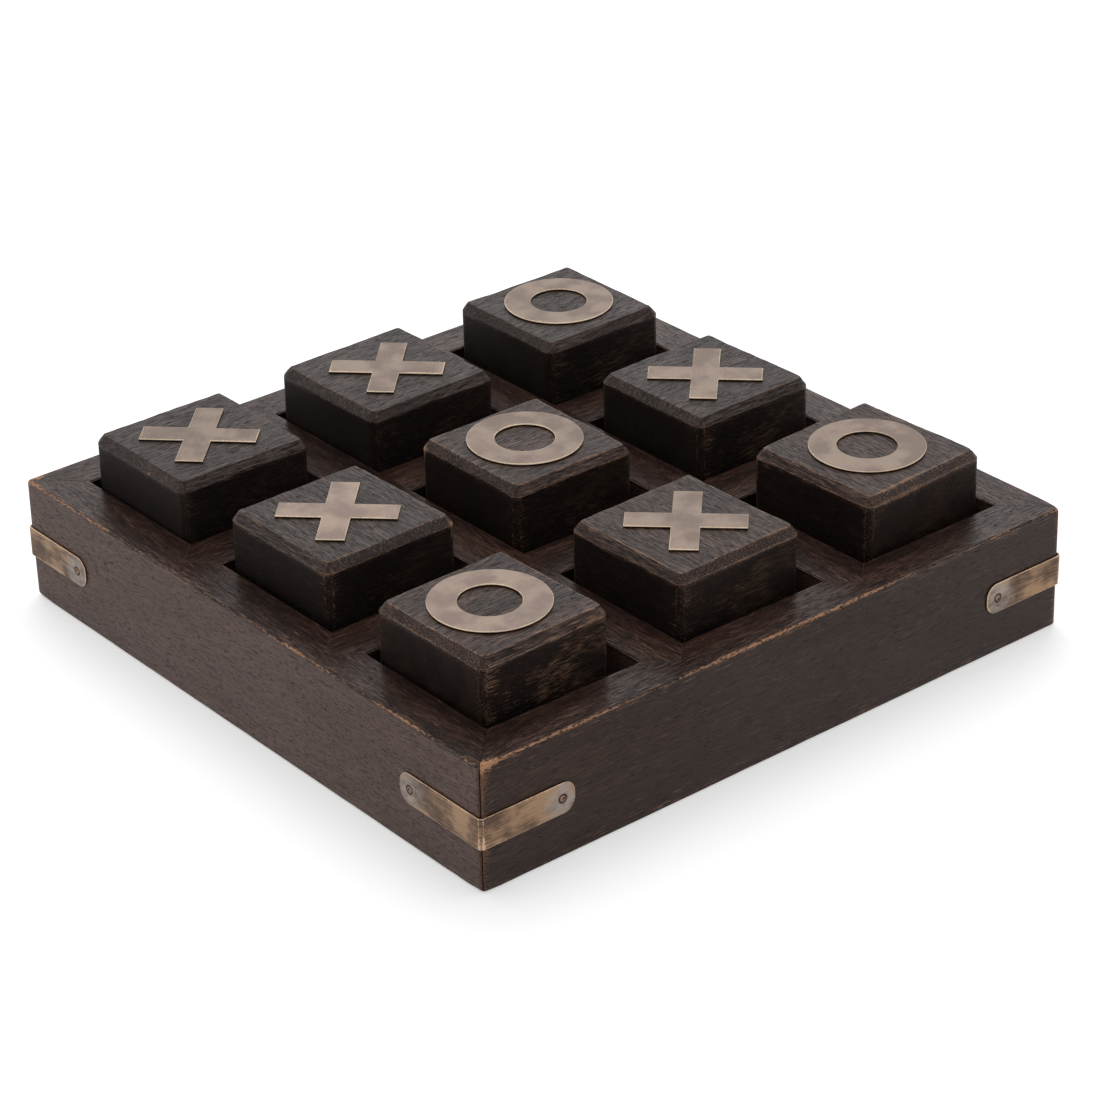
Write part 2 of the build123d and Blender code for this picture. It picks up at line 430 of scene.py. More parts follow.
# %% [markdown]
# ## Stained wood of the tray
# The stain is almost black over a reddish wood, so most of what is seen is the sheen
# of the wax. One colour under an even gloss would hide the grain. So the wax is the
# shader's coat, and it is missing in the pores, in the joints and where an edge is
# rubbed, which makes the grain show from a step away. Below it the fibres let some
# brown through, and the edges are rubbed back to tan. The upright faces are calmer
# than the top. The upright faces of the side rails are painted much lighter than those
# of the front rails, which is painted light. The boards also differ in how far their
# corners are rubbed, so each material takes the values of its board. A thin grey line
# at the V notches is a painted highlight.

# %% Stain colours
TRAY_DARK = (0.0100, 0.0054, 0.0042, 1.0)
TRAY_RED = (0.0420, 0.0205, 0.0145, 1.0)
FIBRE_BROWN = (0.1350, 0.0780, 0.0560, 1.0)
PORE_BLACK = (0.0030, 0.0022, 0.0019, 1.0)
RUBBED_TAN = (0.4600, 0.2420, 0.1350, 1.0)
RUBBED_BROWN = (0.1700, 0.0880, 0.0520, 1.0)
JOINT_DARK = (0.0020, 0.0014, 0.0012, 1.0)
# A neutral grey for a painted highlight line at the V notches.
PAINTED_HIGHLIGHT_GREY = (0.0520, 0.0490, 0.0480, 1.0)
WOOD_SHEEN = (1.0, 0.66, 0.56, 1.0)
WAX = 0.34
print("wax", WAX)


# %% Stained wood
def grained(tree, point, seed, dark, light, fibre_share, fine=1.0):
    """The stained wood before wear: its colour, wax, height, and how much each fibre stands up."""
    grain = use_group(tree, "wood grain", {"Point": point, "Seed": seed, "Fine": fine})
    strand = tree.plus(tree.times(grain["Fibres"], 0.6), tree.times(grain["Hairs"], 0.4))
    tone = tree.plus(strand, tree.times(tree.minus(grain["Bands"], 0.5), 0.10))
    colour = tree.blend(tree.step(tone, 0.40, 0.60), dark, light)
    pale = tree.times(tree.step(tone, 0.53, 0.68), fibre_share)
    colour = tree.blend(pale, colour, FIBRE_BROWN)
    colour = tree.blend(tree.times(grain["Pores"], 0.85), colour, PORE_BLACK)
    wax = tree.step(strand, 0.36, 0.62, WAX * 0.45, WAX * 1.5)
    wax = tree.times(wax, tree.step(grain["Pores"], 0.0, 1.0, 1.0, 0.12))
    return colour, wax, grain["Height"], strand


def finish_wood(material, tree, colour, wax, height, relief):
    """Join the wood's colour, wax and height to its shader."""
    shader = tree.nodes["Principled BSDF"]
    shader.inputs["IOR"].default_value = 1.32
    shader.inputs["Specular IOR Level"].default_value = 0.30
    shader.inputs["Specular Tint"].default_value = WOOD_SHEEN
    shader.inputs["Coat Roughness"].default_value = 0.25
    shader.inputs["Coat IOR"].default_value = 1.5
    tree.put(shader.inputs["Base Color"], colour)
    tree.put(shader.inputs["Roughness"], tree.step(wax, 0.0, WAX, 0.48, 0.30))
    tree.put(shader.inputs["Coat Weight"], wax)
    bump = tree.box("ShaderNodeBump", {"Height": height, "Strength": 1.0, "Distance": relief})
    tree.put(shader.inputs["Normal"], bump.outputs[0])
    return material


def less(tree, value, mask, share):
    """The value, taken down by a share where the mask is 1."""
    return tree.times(value, tree.step(mask, 0.0, 1.0, 1.0, 1.0 - share))


def rubbed_fibres(tree, strand, distance, reach):
    """Where single fibres near an edge are rubbed bare: a mask from the strands."""
    zone = tree.step(distance, 0.0, reach, 0.10, 0.0)
    return tree.step(tree.plus(strand, zone), 0.64, 0.70)


print("the wax is thickest at", WAX * 1.5)

# %% Boards of the tray
TRAY_RELIEF = 0.00016
EVEN_WAX = 0.85 * WAX
UPRIGHT_FROM = 2.0
UPRIGHT_TO = 0.6
NEAR_CORNER = (-0.10, -0.06)
CORNER_ZONE = (2.0, 13.0)
FRONT_BOARD = {
    "side": (0.0265, 0.0142, 0.0104, 1.0), "calm": 0.68, "side_wax": 0.55, "fine": 1.0,
    "patch": 4.2, "strip": 6.5, "line": 0.95, "cover": 0.74,
}
# Painted light: this side tone makes the side rails' upright faces much lighter than the front rails'.
SIDE_BOARD_LIT = {
    "side": (0.1900, 0.1160, 0.0930, 1.0), "calm": 0.34, "side_wax": 0.50, "fine": 1.35,
    "patch": 1.8, "strip": 0.9, "line": 1.30, "cover": 0.91,
}
NO_MITRE = 0.0
RAIL_MITRE = 0.95
print("the mitre is", RAIL_MITRE, "dark on the rails")


# %% Tray wood
def tray_wood(name, turn, seed, board, mitre=RAIL_MITRE):
    """Stained wood of the tray, with its grain along X, or turned to run along Y. The
    board says how its upright faces differ and how wide its corners are rubbed, and
    mitre how dark the joint between two rails is."""
    material, tree = new_material(name)
    place = tree.box("ShaderNodeTexCoord").outputs["Object"]
    x, y, z = tree.split(place)
    point = tree.join(y, x, z) if turn else place
    upright_from, upright_to = (TRAY_HEIGHT - UPRIGHT_FROM) * MM, (TRAY_HEIGHT - UPRIGHT_TO) * MM
    # Upright faces blend to the board's side tone, which on the side rails is painted light.
    upright_face = tree.step(z, upright_from, upright_to, 1.0, 0.0)
    calm = tree.times(upright_face, board["calm"])
    rough = tree.minus(1.0, calm)
    dark = tree.blend(calm, TRAY_DARK, board["side"])
    light = tree.blend(calm, TRAY_RED, board["side"])
    fibre_share = tree.times(rough, 0.50)
    colour, wax, height, strand = grained(tree, point, seed, dark, light, fibre_share, board["fine"])
    wax = tree.plus(tree.times(wax, rough), tree.times(calm, EVEN_WAX))
    wax = less(tree, wax, upright_face, 1.0 - board["side_wax"])
    cloudy = tree.drawn(point, (14.0, 45.0, 45.0), 2.0)
    wax = tree.times(wax, tree.step(cloudy, 0.32, 0.68, 0.86, 1.14))
    wax = tree.times(wax, tree.step(x, -0.12, 0.15, 0.97, 1.24))
    height = tree.times(height, rough)
    edges = use_group(tree, "tray edges", {"Point": place})
    drawn_out = tree.vector("MULTIPLY", point, (0.38, 1.0, 1.0))

    def worn(distance, width, cover, offset):
        return worn_edge(tree, distance, drawn_out, width, cover, seed + offset)

    near_patch = tree.step(x, *NEAR_CORNER, board["patch"], 1.5)
    near_cover = tree.step(x, *NEAR_CORNER, 0.90, 0.76)
    rim_width = tree.step(edges["Upright"], *CORNER_ZONE, near_patch, board["line"])
    rim_cover = tree.step(edges["Upright"], *CORNER_ZONE, near_cover, board["cover"])
    rim = worn(edges["Rim"], rim_width, rim_cover, 0.0)
    foot = worn(edges["Foot"], 1.1, 0.60, 3.0)
    upright = worn(edges["Upright"], board["strip"], 0.75, 5.0)
    mouth = worn(edges["Mouth"], 0.7, 0.52, 7.0)
    close = tree.smaller(tree.smaller(edges["Rim"], edges["Foot"]), edges["Upright"])
    fibres = rubbed_fibres(tree, strand, close, 8.0)
    colour = tree.blend(tree.times(fibres, 0.75), colour, RUBBED_BROWN)
    colour = tree.blend(tree.times(mouth, 0.5), colour, RUBBED_BROWN)
    colour = tree.blend(tree.times(upright, 0.8), colour, RUBBED_BROWN)
    colour = tree.blend(tree.times(foot, 0.8), colour, RUBBED_BROWN)
    colour = tree.blend(tree.times(rim, 0.85), colour, RUBBED_TAN)
    # Painted highlight: a thin grey line where the dividers meet the rails.
    vee_highlight = tree.step(edges["Vee"], 0.05, 0.35, 1.0, 0.0)
    colour = tree.blend(tree.times(vee_highlight, 0.6), colour, PAINTED_HIGHLIGHT_GREY)
    joint = tree.step(edges["Mitre"], 0.05, 0.40, mitre, 0.0)
    colour = tree.blend(joint, colour, JOINT_DARK)
    for mask in (rim, foot, upright, joint):
        wax = less(tree, wax, mask, 0.9)
    height = tree.minus(height, tree.times(joint, 2.0))
    return finish_wood(material, tree, colour, wax, height, TRAY_RELIEF)


# %% Dress the tray
wood_along_x = tray_wood("tray wood along x", False, 1.0, FRONT_BOARD)
wood_along_y = tray_wood("tray wood along y", True, 2.0, SIDE_BOARD_LIT)
panel_wood = tray_wood("panel wood", False, 3.0, FRONT_BOARD, NO_MITRE)


def dress(node, material):
    """Give a packed node a finish."""
    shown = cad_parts[node]
    shown.data.materials.clear()
    shown.data.materials.append(material)


for node in ("floor_panel", "base_panel"):
    dress(node, panel_wood)
print("panels dressed")

# %% [markdown]
# ## Eased arrises
# The packed rails and dividers are sawn square. On the real tray every arris is
# rubbed down, so its four corners are round and its rim is never quite straight. A
# bevel modifier would stop at the mitres, where two rails share one corner. Here a
# copy of each piece is sliced into rows next to its arrises, and one formula moves
# every point on to the round. It depends on the place alone, so pieces that meet
# still meet.

# %% Round an arris
UPRIGHT_ROUND = 2.0
CORNER_EXTRA = 1.1
CORNER_REACH = 10.0
RIM_ROUND = 0.8
FOOT_ROUND = 1.0
MOUTH_ROUND = 0.6
ROWS = (0.10, 0.26, 0.48, 0.78, 1.15, 1.7, 2.6)
LENGTH_GAP = 4.0


def slow(x, y, z, wave, seed):
    """Smooth noise from -1 to 1 that repeats about once in a wave of millimetres."""
    return noise.noise(Vector((x / wave + seed * 7.3, y / wave - seed * 3.1, z / wave + seed * 1.7)))


def round_off(first, second, reach):
    """Distances from two faces that meet in an arris, moved on to a round of that reach."""
    if first >= reach or second >= reach:
        return first, second
    a, b = reach - first, reach - second
    share = max(a, b) / math.hypot(a, b)
    return reach - a * share, reach - b * share


def eased(place):
    """Where a point of the sharp tray goes on the eased one, in millimetres."""
    x, y, z = place
    worn = 1 + 0.55 * slow(x, y, z, 26.0, 3) + 0.35 * slow(x, y, z, 7.0, 5)
    across = [abs(x), abs(y)]
    side, top = OUTER_HALF - max(across), TRAY_HEIGHT - z
    near_corner = max(0.0, 1 - (OUTER_HALF - min(across)) / CORNER_REACH)
    rim_side, rim_top = round_off(side, top, (RIM_ROUND + CORNER_EXTRA * near_corner) * worn)
    foot_side, foot = round_off(side, z, (FOOT_ROUND + CORNER_EXTRA * near_corner) * worn)
    limit = OUTER_HALF - max(rim_side, foot_side)
    if limit < OUTER_HALF - side:
        across = [min(value, limit) for value in across]
    z += top - rim_top + foot - z
    cells = [value - PITCH if value > PITCH / 2 else value for value in across]
    from_cell = max(abs(cell) for cell in cells)
    wall = max(0.0, from_cell - POCKET_HALF)
    new_wall, new_top = round_off(wall, TRAY_HEIGHT - z, MOUTH_ROUND * worn)
    if new_wall > wall:
        for axis in (0, 1):
            if abs(cells[axis]) > from_cell - 0.001:
                across[axis] += math.copysign(new_wall - wall, cells[axis])
        z = TRAY_HEIGHT - new_top
    ends = round_off(OUTER_HALF - across[0], OUTER_HALF - across[1], UPRIGHT_ROUND * worn)
    return math.copysign(OUTER_HALF - ends[0], x), math.copysign(OUTER_HALF - ends[1], y), z


rim_point = eased((0.0, -OUTER_HALF, TRAY_HEIGHT))
print("a point of the sharp rim goes to", [round(value, 2) for value in rim_point])


# %% Slice and ease the rails and dividers
def slices(low, high, lengthwise, upright):
    """Where one axis of a piece is cut, in millimetres: next to its arrises, and
    along its length."""
    if upright:
        places = list(ROWS) + [TRAY_HEIGHT - row for row in ROWS]
    else:
        places = [sign * (OUTER_HALF - row) for row in ROWS for sign in (-1, 1)]
        for row in ROWS:
            for edge in (POCKET_HALF + row, PITCH - POCKET_HALF - row, PITCH + POCKET_HALF + row):
                places += [edge, -edge]
    if lengthwise:
        places += [low + LENGTH_GAP * number for number in range(1, int((high - low) / LENGTH_GAP))]
    return sorted({round(place, 2) for place in places if low + 0.02 < place < high - 0.02})


def ease(node, material):
    """A copy of a rail or divider with its arrises rounded, in place of the sharp one."""
    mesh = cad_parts[node].data.copy()
    mesh.name = "eased_" + node
    low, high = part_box(node)
    build = bmesh.new()
    build.from_mesh(mesh)
    bmesh.ops.remove_doubles(build, verts=build.verts, dist=0.002 * MM)
    longest = max((0, 1), key=lambda axis: high[axis] - low[axis])
    for axis in (2, 1 - longest, longest):
        facing = Vector([1.0 if number == axis else 0.0 for number in range(3)])
        for place in slices(low[axis] / MM, high[axis] / MM, axis == longest, axis == 2):
            geometry = build.verts[:] + build.edges[:] + build.faces[:]
            bmesh.ops.bisect_plane(
                build, geom=geometry, dist=0.001 * MM, plane_co=facing * place * MM, plane_no=facing)
    for vertex in build.verts:
        vertex.co = Vector(eased(vertex.co / MM)) * MM
    build.to_mesh(mesh)
    build.free()
    mesh.shade_smooth()
    mesh.set_sharp_from_angle(angle=math.radians(40))
    mesh.materials.clear()
    mesh.materials.append(material)
    piece = add_object("eased_" + node, mesh)
    even = piece.modifiers.new("even normals", "WEIGHTED_NORMAL")
    even.keep_sharp = True
    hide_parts(node)
    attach(piece, "tray")
    print("eased", node, "faces", len(mesh.polygons))


for node in ("rail_front", "rail_back", "divider_front", "divider_back"):
    ease(node, wood_along_x)
for node in ("rail_left", "rail_right", "divider_left", "divider_right"):
    ease(node, wood_along_y)

# %% [markdown]
# ## Edge distance as an attribute
# The blocks and the brass are meshes made here, with rows of vertices close to their
# edges. Each vertex stores how far it lies from the nearest edge, in millimetres, in
# an attribute named edge_mm. The wear group reads it, and the rubbed lines then
# follow every wobble of the edge.


# %% Build a mesh piece
def new_piece(name, vertices, faces, distances, material, place, from_pins=None):
    """A mesh piece from points in millimetres, put in place by a matrix in metres."""
    mesh = bpy.data.meshes.new(name)
    mesh.from_pydata([(x * MM, y * MM, z * MM) for x, y, z in vertices], [], faces)
    for label, values in (("edge_mm", distances), ("pin_mm", from_pins)):
        if values is not None:
            attribute = mesh.attributes.new(label, "FLOAT", "POINT")
            attribute.data.foreach_set("value", np.array(values, np.float32))
    mesh.validate()
    build = bmesh.new()
    build.from_mesh(mesh)
    bmesh.ops.recalc_face_normals(build, faces=build.faces)
    build.to_mesh(mesh)
    build.free()
    mesh.shade_smooth()
    mesh.materials.append(material)
    piece = add_object(name, mesh)
    piece.matrix_world = place
    return piece


# %% How each block lies
def seat_of(node, turn):
    """A matrix at the middle of a node's foot, turned about the vertical."""
    low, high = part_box(node)
    middle = Matrix.Translation(((low.x + high.x) / 2, (low.y + high.y) / 2, low.z))
    return middle @ Matrix.Rotation(turn, 4, "Z")


def lie_of(node):
    """How a block lies: a matrix at the middle of its foot, its side, height and turn."""
    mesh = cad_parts[node].data
    upright = [face for face in mesh.polygons if abs(face.normal.z) < 0.01]
    widest = max(upright, key=lambda face: face.area)
    turn = math.atan2(widest.normal.y, widest.normal.x) % (math.pi / 2)
    if turn > math.pi / 4:
        turn -= math.pi / 2
    low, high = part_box(node)
    place = seat_of(node, turn)
    back = place.inverted()
    reach = max((back @ vertex.co).x for vertex in mesh.vertices)
    return place, 2 * reach / MM, (high.z - low.z) / MM, turn


COLUMNS = "abc"
CELLS = [column + str(row) for row in (1, 2, 3) for column in COLUMNS]
lies = {cell: lie_of("block_" + cell) for cell in CELLS}
for cell, (place, side, height, turn) in lies.items():
    degrees = round(math.degrees(turn), 2)
    print("block", cell, "side", round(side, 1), "height", round(height, 1), "turn", degrees)

# %% [markdown]
# ## The blocks
# Each block is sawn square, taken off at its four corners and bevelled round its top
# by hand, so no bevel is quite straight. A modifier would give a perfect bevel. Here
# the block is a stack of rings instead: every ring follows the same eight-sided plan,
# set in by its own amount, and slow noise moves the bevel's edges. Rings and points
# crowd together next to the edges, where the wear has to be sharp.

# %% Sizes of a block
CORNER_CUT = 2.4
FOOT_EASE = 0.8
BEVEL_IN = 2.8
BEVEL_DOWN = 3.7
EDGE_ROUND = 0.09
UPRIGHT_SPARED = 0.22
CORNER_SINK = 0.24
CORNER_SOFT = 1.1
SHARP = 0.10
SOFTENED = 0.85
SOFT_REACH = 6.0
LEAST_CUT = 0.12
BESIDE_EDGE = (0.14, 0.4, 0.9, 1.8)
POINT_GAP = 1.5
WALL_GAP = 5.0
BEVEL_GAP = 1.2
TOP_ROWS = (0.0, 0.005, 0.014, 0.03, 0.06, 0.12, 0.22, 0.36, 0.52, 0.68, 0.84)
TOP_MIDDLE = 3.5
TOP_SUNK = 0.06
print("a bevel runs", BEVEL_IN, "mm in and", BEVEL_DOWN, "mm down")


# %% The plan of a block
def marks_between(length, gap):
    """Places along a stretch between two edges, crowded at both ends, from 0 to 1."""
    near = [place for place in BESIDE_EDGE if place < length / 2 - 0.1]
    last = near[-1] if near else 0.0
    count = max(1, round((length - 2 * last) / gap))
    middle = [last + (length - 2 * last) * number / count for number in range(1, count)]
    places = [0.0] + near + middle + [length - place for place in reversed(near)]
    return [place / length for place in places]


def plan_corners(half, cut):
    """The eight corners of the plan, from the right end of its front, anticlockwise."""
    corner = half - cut
    return [(corner, -half), (half, -corner), (half, corner), (corner, half),
            (-corner, half), (-half, corner), (-half, -corner), (-corner, -half)]


def plan_points(half, cut):
    """The eight-sided plan: for each point its side, its share of that side, and how
    far it lies from the nearest corner."""
    corners = plan_corners(half, cut)
    points = []
    for side in range(8):
        start = Vector(corners[side])
        end = Vector(corners[(side + 1) % 8])
        length = (end - start).length
        for share in marks_between(length, POINT_GAP):
            points.append((side, share, min(share, 1 - share) * length))
    return points


def plan_place(half, cut, side, share, inset):
    """The point of the plan at a share of one side, with the plan set in."""
    corners = plan_corners(half - inset, max(LEAST_CUT, cut - inset * (2 - math.sqrt(2))))
    start, end = corners[side], corners[(side + 1) % 8]
    return start[0] + (end[0] - start[0]) * share, start[1] + (end[1] - start[1]) * share


print("points round block a1:", len(plan_points(lies["a1"][1] / 2, CORNER_CUT)))

# %% The rings of a block
def ring_stations(height):
    """The profile from the middle of the foot to the middle of the top: for each ring
    a stretch, and its place along that stretch from 0 to 1."""
    wall = marks_between(height - FOOT_EASE - BEVEL_DOWN, WALL_GAP)
    bevel = marks_between(math.hypot(BEVEL_IN, BEVEL_DOWN), BEVEL_GAP)
    stretches = {"foot": (0.0, 0.5), "wall": wall, "bevel": bevel, "top": TOP_ROWS}
    return [(stretch, share) for stretch, shares in stretches.items() for share in shares]


print("rings of block a1:", len(ring_stations(lies["a1"][2])))


# %% The mesh of a block
def block_mesh(side, height, seed, soft_side=None, chips=()):
    """Points, faces and edge distances of a hand-planed block."""
    half = side / 2
    plan = plan_points(half, CORNER_CUT)
    stations = ring_stations(height)
    slope = math.hypot(BEVEL_IN, BEVEL_DOWN)
    points, distances = [], []
    for stretch, share in stations:
        for plan_side, plan_share, from_corner in plan:
            x, y = plan_place(half, CORNER_CUT, plan_side, plan_share, 0.0)
            wide = slow(x, y, 0.0, 17.0, seed) * 0.55 + slow(x, y, 0.0, 5.0, seed + 9) * 0.22
            deep = slow(x, y, 50.0, 21.0, seed + 4) * 0.55 + slow(x, y, 50.0, 6.0, seed + 5) * 0.18
            bevel_in, bevel_down = BEVEL_IN + wide, BEVEL_DOWN + deep
            soft = SHARP
            if plan_side == soft_side:
                soft = SHARP + SOFTENED * min(1.0, from_corner / SOFT_REACH)
            if stretch == "foot":
                inset, z, from_edge = FOOT_EASE * (1 - share), FOOT_EASE * share, 1.5
            elif stretch == "wall":
                room = height - FOOT_EASE - bevel_down
                inset, z = 0.0, FOOT_EASE + room * share
                from_edge = room * (1 - share)
            elif stretch == "bevel":
                turn = share * math.pi / 2
                inset = bevel_in * (share + soft * (1 - math.cos(turn) - share))
                z = height - bevel_down * (1 - share - soft * (math.sin(turn) - share))
                from_edge = slope * min(share, 1 - share)
            else:
                inset = bevel_in + (half - TOP_MIDDLE - bevel_in) * share
                z = height
                from_edge = inset - bevel_in
            if from_edge < 0.02:
                inset += EDGE_ROUND
            from_edge = from_edge * (1 - 0.55 * soft)
            x, y = plan_place(half, CORNER_CUT, plan_side, plan_share, inset)
            if stretch != "top":
                from_edge = min(from_edge, from_corner + UPRIGHT_SPARED)
                sunk = CORNER_SINK * max(0.0, 1 - from_corner / CORNER_SOFT) ** 2
                x, y = x * (1 - sunk / half), y * (1 - sunk / half)
            push = 1 + (slow(x, y, z, 22.0, seed + 2) * 0.16 - 0.06) / half
            nick = max(0.0, slow(x, y, z, 2.2, seed + 6) - 0.35) * max(0.0, 1 - from_edge / 0.7) * 0.7
            if stretch == "bevel":
                nick += max(0.0, slow(x, y, z, 1.7, seed + 8)) * max(0.0, 1 - from_corner / 2.6) * 0.55
            x, y = x * (push - nick / half), y * (push - nick / half)
            if stretch in ("bevel", "top"):
                z -= 0.05 + 0.05 * slow(x, y, z, 15.0, seed + 3) + nick * 0.6
            for chip, reach in chips:
                from_edge -= 2.2 * max(0.0, 1 - (Vector((x, y, z)) - Vector(chip)).length / reach)
            points.append((x, y, z))
            distances.append(from_edge)
    around = len(plan)
    faces = []
    for ring in range(len(stations) - 1):
        for number in range(around):
            following = (number + 1) % around
            faces.append((ring * around + number, ring * around + following,
                          (ring + 1) * around + following, (ring + 1) * around + number))
    points += [(0.0, 0.0, 0.0), (0.0, 0.0, height - TOP_SUNK)]
    distances += [FAR_AWAY, FAR_AWAY]
    last = (len(stations) - 1) * around
    for number in range(around):
        following = (number + 1) % around
        faces.append((following, number, len(points) - 2))
        faces.append((last + number, last + following, len(points) - 1))
    return points, faces, distances


print("a corner is cut by", CORNER_CUT, "mm")

# %% [markdown]
# ## Block finish
# The blocks share the tray's stain and grain, but their sides are a matte near-black, a dark stain
# deepened by painted shade.
# Their edges are rubbed to a duller brown in thinner lines, the front of a block may
# be scraped in tan streaks, and three blocks are chipped. The tops are polished by
# hands, and some have gone greyer. One material for all nine would repeat the same
# marks, so one function makes each block its own, with its own seed and its grain
# either way.

# %% Block colours
BLOCK_DARK = (0.0085, 0.0050, 0.0040, 1.0)
BLOCK_BROWN = (0.0480, 0.0250, 0.0190, 1.0)
BLOCK_GREY = (0.0330, 0.0230, 0.0205, 1.0)
BLOCK_SIDE_SHADED = (0.0062, 0.0054, 0.0052, 1.0)
BEVEL_BROWN = (0.2000, 0.1250, 0.0860, 1.0)
STREAK_TAN = (0.2600, 0.1500, 0.0950, 1.0)
BLOCK_RELIEF = 0.00018
BLOCK_WAX = 0.86
SCRAPE_CELLS = (170.0, 2400.0, 2400.0)
PATCH_CELLS = (40.0, 70.0, 70.0)
GREYER = ("a2", "a3", "b3", "c2", "c3")
print("greyer blocks:", GREYER)


# %% Block wood
def block_wood(cell, turn, seed, half, top, streaks, rubbed):
    """Stained wood of one block. Streaks is how much tan shows on its front face, and
    rubbed is how strong the lines along its edges are."""
    material, tree = new_material("block wood " + cell)
    place = tree.box("ShaderNodeTexCoord").outputs["Object"]
    x, y, z = tree.split(place)
    point = tree.join(y, x, z) if turn else place
    light = BLOCK_GREY if cell in GREYER else BLOCK_BROWN
    fibre_share = 0.40 if cell in GREYER else 0.55
    colour, wax, height, strand = grained(tree, point, seed, BLOCK_DARK, light, fibre_share)
    # Below the bevel the sides blend to near-black: a dark stain, darkened further by painted shade.
    side = tree.step(z, (top - BEVEL_DOWN - 2.5) * MM, (top - BEVEL_DOWN) * MM, 1.0, 0.0)
    colour = tree.blend(tree.times(side, 0.78), colour, BLOCK_SIDE_SHADED)
    wax = tree.times(less(tree, wax, side, 0.90), BLOCK_WAX)
    front = tree.step(y, -half * MM, (1.5 - half) * MM, 1.0, 0.12)
    front = tree.times(front, tree.step(x, -0.6 * half * MM, 0.9 * half * MM, 1.0, 0.38))
    scraped = tree.drawn(place, SCRAPE_CELLS, 3.0, 0.6)
    patches = tree.drawn(place, PATCH_CELLS, 2.0)
    scraped = tree.plus(scraped, tree.step(patches, 0.35, 0.65, -0.10, 0.06))
    scraped = tree.times(tree.step(scraped, 0.52, 0.66), tree.times(front, streaks))
    colour = tree.blend(scraped, colour, STREAK_TAN)
    distance = tree.box("ShaderNodeAttribute", attribute_name="edge_mm").outputs["Fac"]
    fibres = rubbed_fibres(tree, strand, distance, 3.5)
    colour = tree.blend(tree.times(fibres, 0.6 * rubbed), colour, BEVEL_BROWN)
    line = worn_edge(tree, distance, point, 0.40, 0.70, seed)
    patch = worn_edge(tree, distance, point, 0.7, 0.44, seed + 11)
    bare = tree.step(distance, -1.4, -0.3, 1.0, 0.0)
    colour = tree.blend(tree.times(line, 0.65 * rubbed), colour, BEVEL_BROWN)
    colour = tree.blend(tree.times(patch, 0.35 * rubbed), colour, RUBBED_TAN)
    colour = tree.blend(tree.times(bare, 0.75), colour, RUBBED_TAN)
    wax = less(tree, wax, patch, 0.6)
    return finish_wood(material, tree, colour, wax, height, BLOCK_RELIEF)


# %% Make the blocks
GRAIN_ALONG_Y = ("c1", "a2", "b1")
STREAKS = {"a1": 0.90, "b1": 0.35, "c1": 0.15, "c2": 0.5, "c3": 0.35, "b2": 0.25}
FEW_STREAKS = 0.2
RUBBED = {
    "a1": 1.0, "b1": 0.80, "c1": 0.85, "a2": 0.60, "b2": 0.75, "c2": 0.40,
    "a3": 0.12, "b3": 0.25, "c3": 0.15,
}
FRONT = 7
SOFT_SIDES = {"c1": FRONT}
CHIPS = {
    "b2": [((-31.5, 29.5, 35.5), 4.0)],
    "a2": [((30.5, -31.0, 36.0), 3.0)],
    "a3": [((-31.5, -8.0, 36.5), 1.6)],
}

for number, cell in enumerate(CELLS):
    place, side, height, turn = lies[cell]
    soft_side, chips = SOFT_SIDES.get(cell), CHIPS.get(cell, ())
    points, faces, distances = block_mesh(side, height, number + 1, soft_side, chips)
    streaks = STREAKS.get(cell, FEW_STREAKS)
    turned = cell in GRAIN_ALONG_Y
    wood = block_wood(cell, turned, 10.0 + number, side / 2, height, streaks, RUBBED[cell])
    piece = new_piece("hand_planed_block_" + cell, points, faces, distances, wood, place)
    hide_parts("block_" + cell)
    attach(piece, "piece_" + cell)
print("blocks:", len(CELLS), "points each:", len(points))

# %% [markdown]
# ## Sheet brass
# The marks and the straps are cut from thin sheet. Each starts as a flat grid of
# quads, dense next to its outline. The top is then lowered a little towards the
# outline, as a file leaves it, walls are dropped from its edge and the back is
# closed. A strap is bent afterwards, by a function that carries each point round the
# corner, so its rounded ends and its dimples bend with it.

# %% Plate helper
SHEET_EASE = 0.22
EASE_REACH = 0.38
UNDER_EDGE = -1.0


def plate(points, faces, distances, thickness, lift=None, bend=None):
    """A flat plate from its top grid: points, faces and edge distances with walls."""
    count = len(points)
    top, bottom = [], []
    for (x, y), distance in zip(points, distances):
        share = min(1.0, distance / EASE_REACH)
        z = thickness - SHEET_EASE * (1 - share) ** 2
        if lift:
            z += lift(x, y) * share
        top.append((x, y, z))
        bottom.append((x, y, 0.0))
    sides = {(start, end) for face in faces for start, end in zip(face, face[1:] + face[:1])}
    outline = sorted((start, end) for start, end in sides if (end, start) not in sides)
    walls = [(end, start, start + count, end + count) for start, end in outline]
    backs = [tuple(number + count for number in reversed(face)) for face in faces]
    everything = top + bottom
    if bend:
        everything = [bend(*point) for point in everything]
    return everything, list(faces) + walls + backs, list(distances) + [UNDER_EDGE] * count


def grid_faces(columns, rows, keep):
    """Quads of a grid of columns by rows, where keep(column, row) says so."""
    return [
        (c * rows + r, (c + 1) * rows + r, (c + 1) * rows + r + 1, c * rows + r + 1)
        for c in range(columns - 1) for r in range(rows - 1) if keep(c, r)
    ]


def drop_loose(points, faces, distances):
    """Leave out the points that no face uses."""
    used = sorted({number for face in faces for number in face})
    place = {number: index for index, number in enumerate(used)}
    faces = [tuple(place[number] for number in face) for face in faces]
    return [points[number] for number in used], faces, [distances[number] for number in used]


print("a filed edge is", SHEET_EASE, "mm low")

